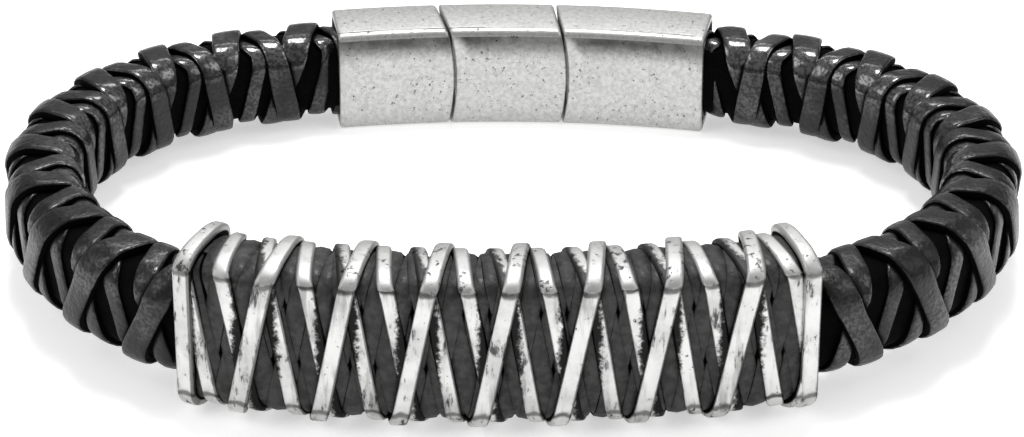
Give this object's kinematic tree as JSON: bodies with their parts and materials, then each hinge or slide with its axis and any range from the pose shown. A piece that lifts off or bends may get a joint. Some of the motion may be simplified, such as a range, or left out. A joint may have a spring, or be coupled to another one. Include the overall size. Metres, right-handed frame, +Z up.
{
  "type": "leather bracelet",
  "caption": "Closed oval bracelet of wound flat leather laces, with a cast openwork metal sleeve in front and a segmented magnetic clasp at the back.",
  "frame": {"origin": "middle of the bracelet's outline on the surface it lies on", "axes": "+X to the right as seen from the front, +Z up along the axis of the loop; the metal sleeve faces -Y and the clasp +Y"},
  "size_m": [0.0804, 0.0527, 0.014],
  "materials": {
    "core_leather": "matt braided leather, dark grey",
    "lace_leather": "satin black flat leather lace with worn highlights",
    "sleeve_metal": "antiqued cast silver colour, dark in the pits",
    "clasp_metal": "antiqued cast silver colour, finely pitted"
  },
  "bodies": {
    "root": {"leather_core": "core_leather", "front_sleeve": "sleeve_metal", "left_outer_lace": "lace_leather", "left_inner_lace": "lace_leather", "left_under_lace": "lace_leather", "right_outer_lace": "lace_leather", "right_inner_lace": "lace_leather", "right_under_lace": "lace_leather", "clasp_left_cap": "clasp_metal", "clasp_link": "clasp_metal", "clasp_right_cap": "clasp_metal"}
  },
  "joints": []
}
